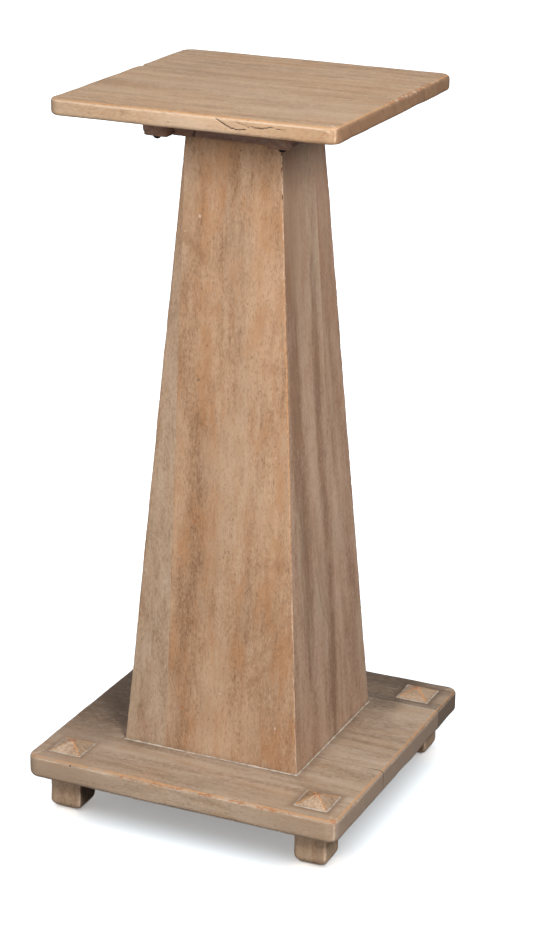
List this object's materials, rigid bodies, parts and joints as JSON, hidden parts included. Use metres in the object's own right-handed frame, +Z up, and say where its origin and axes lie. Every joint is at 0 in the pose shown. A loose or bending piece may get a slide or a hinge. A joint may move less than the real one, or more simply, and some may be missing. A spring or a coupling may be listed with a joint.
{
  "type": "square tapered column pedestal",
  "caption": "Wooden pedestal: a square top board on a hollow tapered column of mitred boards, standing on a square base board with short block feet.",
  "frame": {"origin": "on the floor, under the middle of the square column", "axes": "+Z up; the front, with its off-centre glue line, faces -Y; the right side faces +X; the boards' grain runs along X"},
  "size_m": [0.3556, 0.3556, 0.762],
  "materials": {
    "top_wood": "matte weathered stain, pale worn edges",
    "cleat_wood": "dark red-brown stain, matte",
    "black_screw": "blackened steel",
    "column_wood": "matte tan stain over open grain",
    "column_grey_wood": "matte grey-brown stain",
    "base_wood": "matte grey-brown stain, orange and pale worn edges",
    "foot_wood": "matte grey-brown stain, worn edges"
  },
  "bodies": {
    "root": {"top_plank_front": "top_wood", "top_plank_rear": "top_wood", "cleat_left": "cleat_wood", "cleat_right": "cleat_wood", "cleat_front": "cleat_wood", "cleat_rear": "cleat_wood", "screw_front_left": "black_screw", "screw_front_right": "black_screw", "screw_rear_right": "black_screw", "screw_rear_left": "black_screw", "column_front_board": "column_wood", "column_front_strip": "column_grey_wood", "column_right_board": "column_grey_wood", "column_right_strip": "column_grey_wood", "column_rear_board": "column_wood", "column_left_board": "column_grey_wood", "base_plank_front": "base_wood", "base_plank_middle": "base_wood", "base_plank_rear": "base_wood", "foot_front_left": "foot_wood", "foot_front_right": "foot_wood", "foot_rear_right": "foot_wood", "foot_rear_left": "foot_wood"}
  },
  "joints": []
}
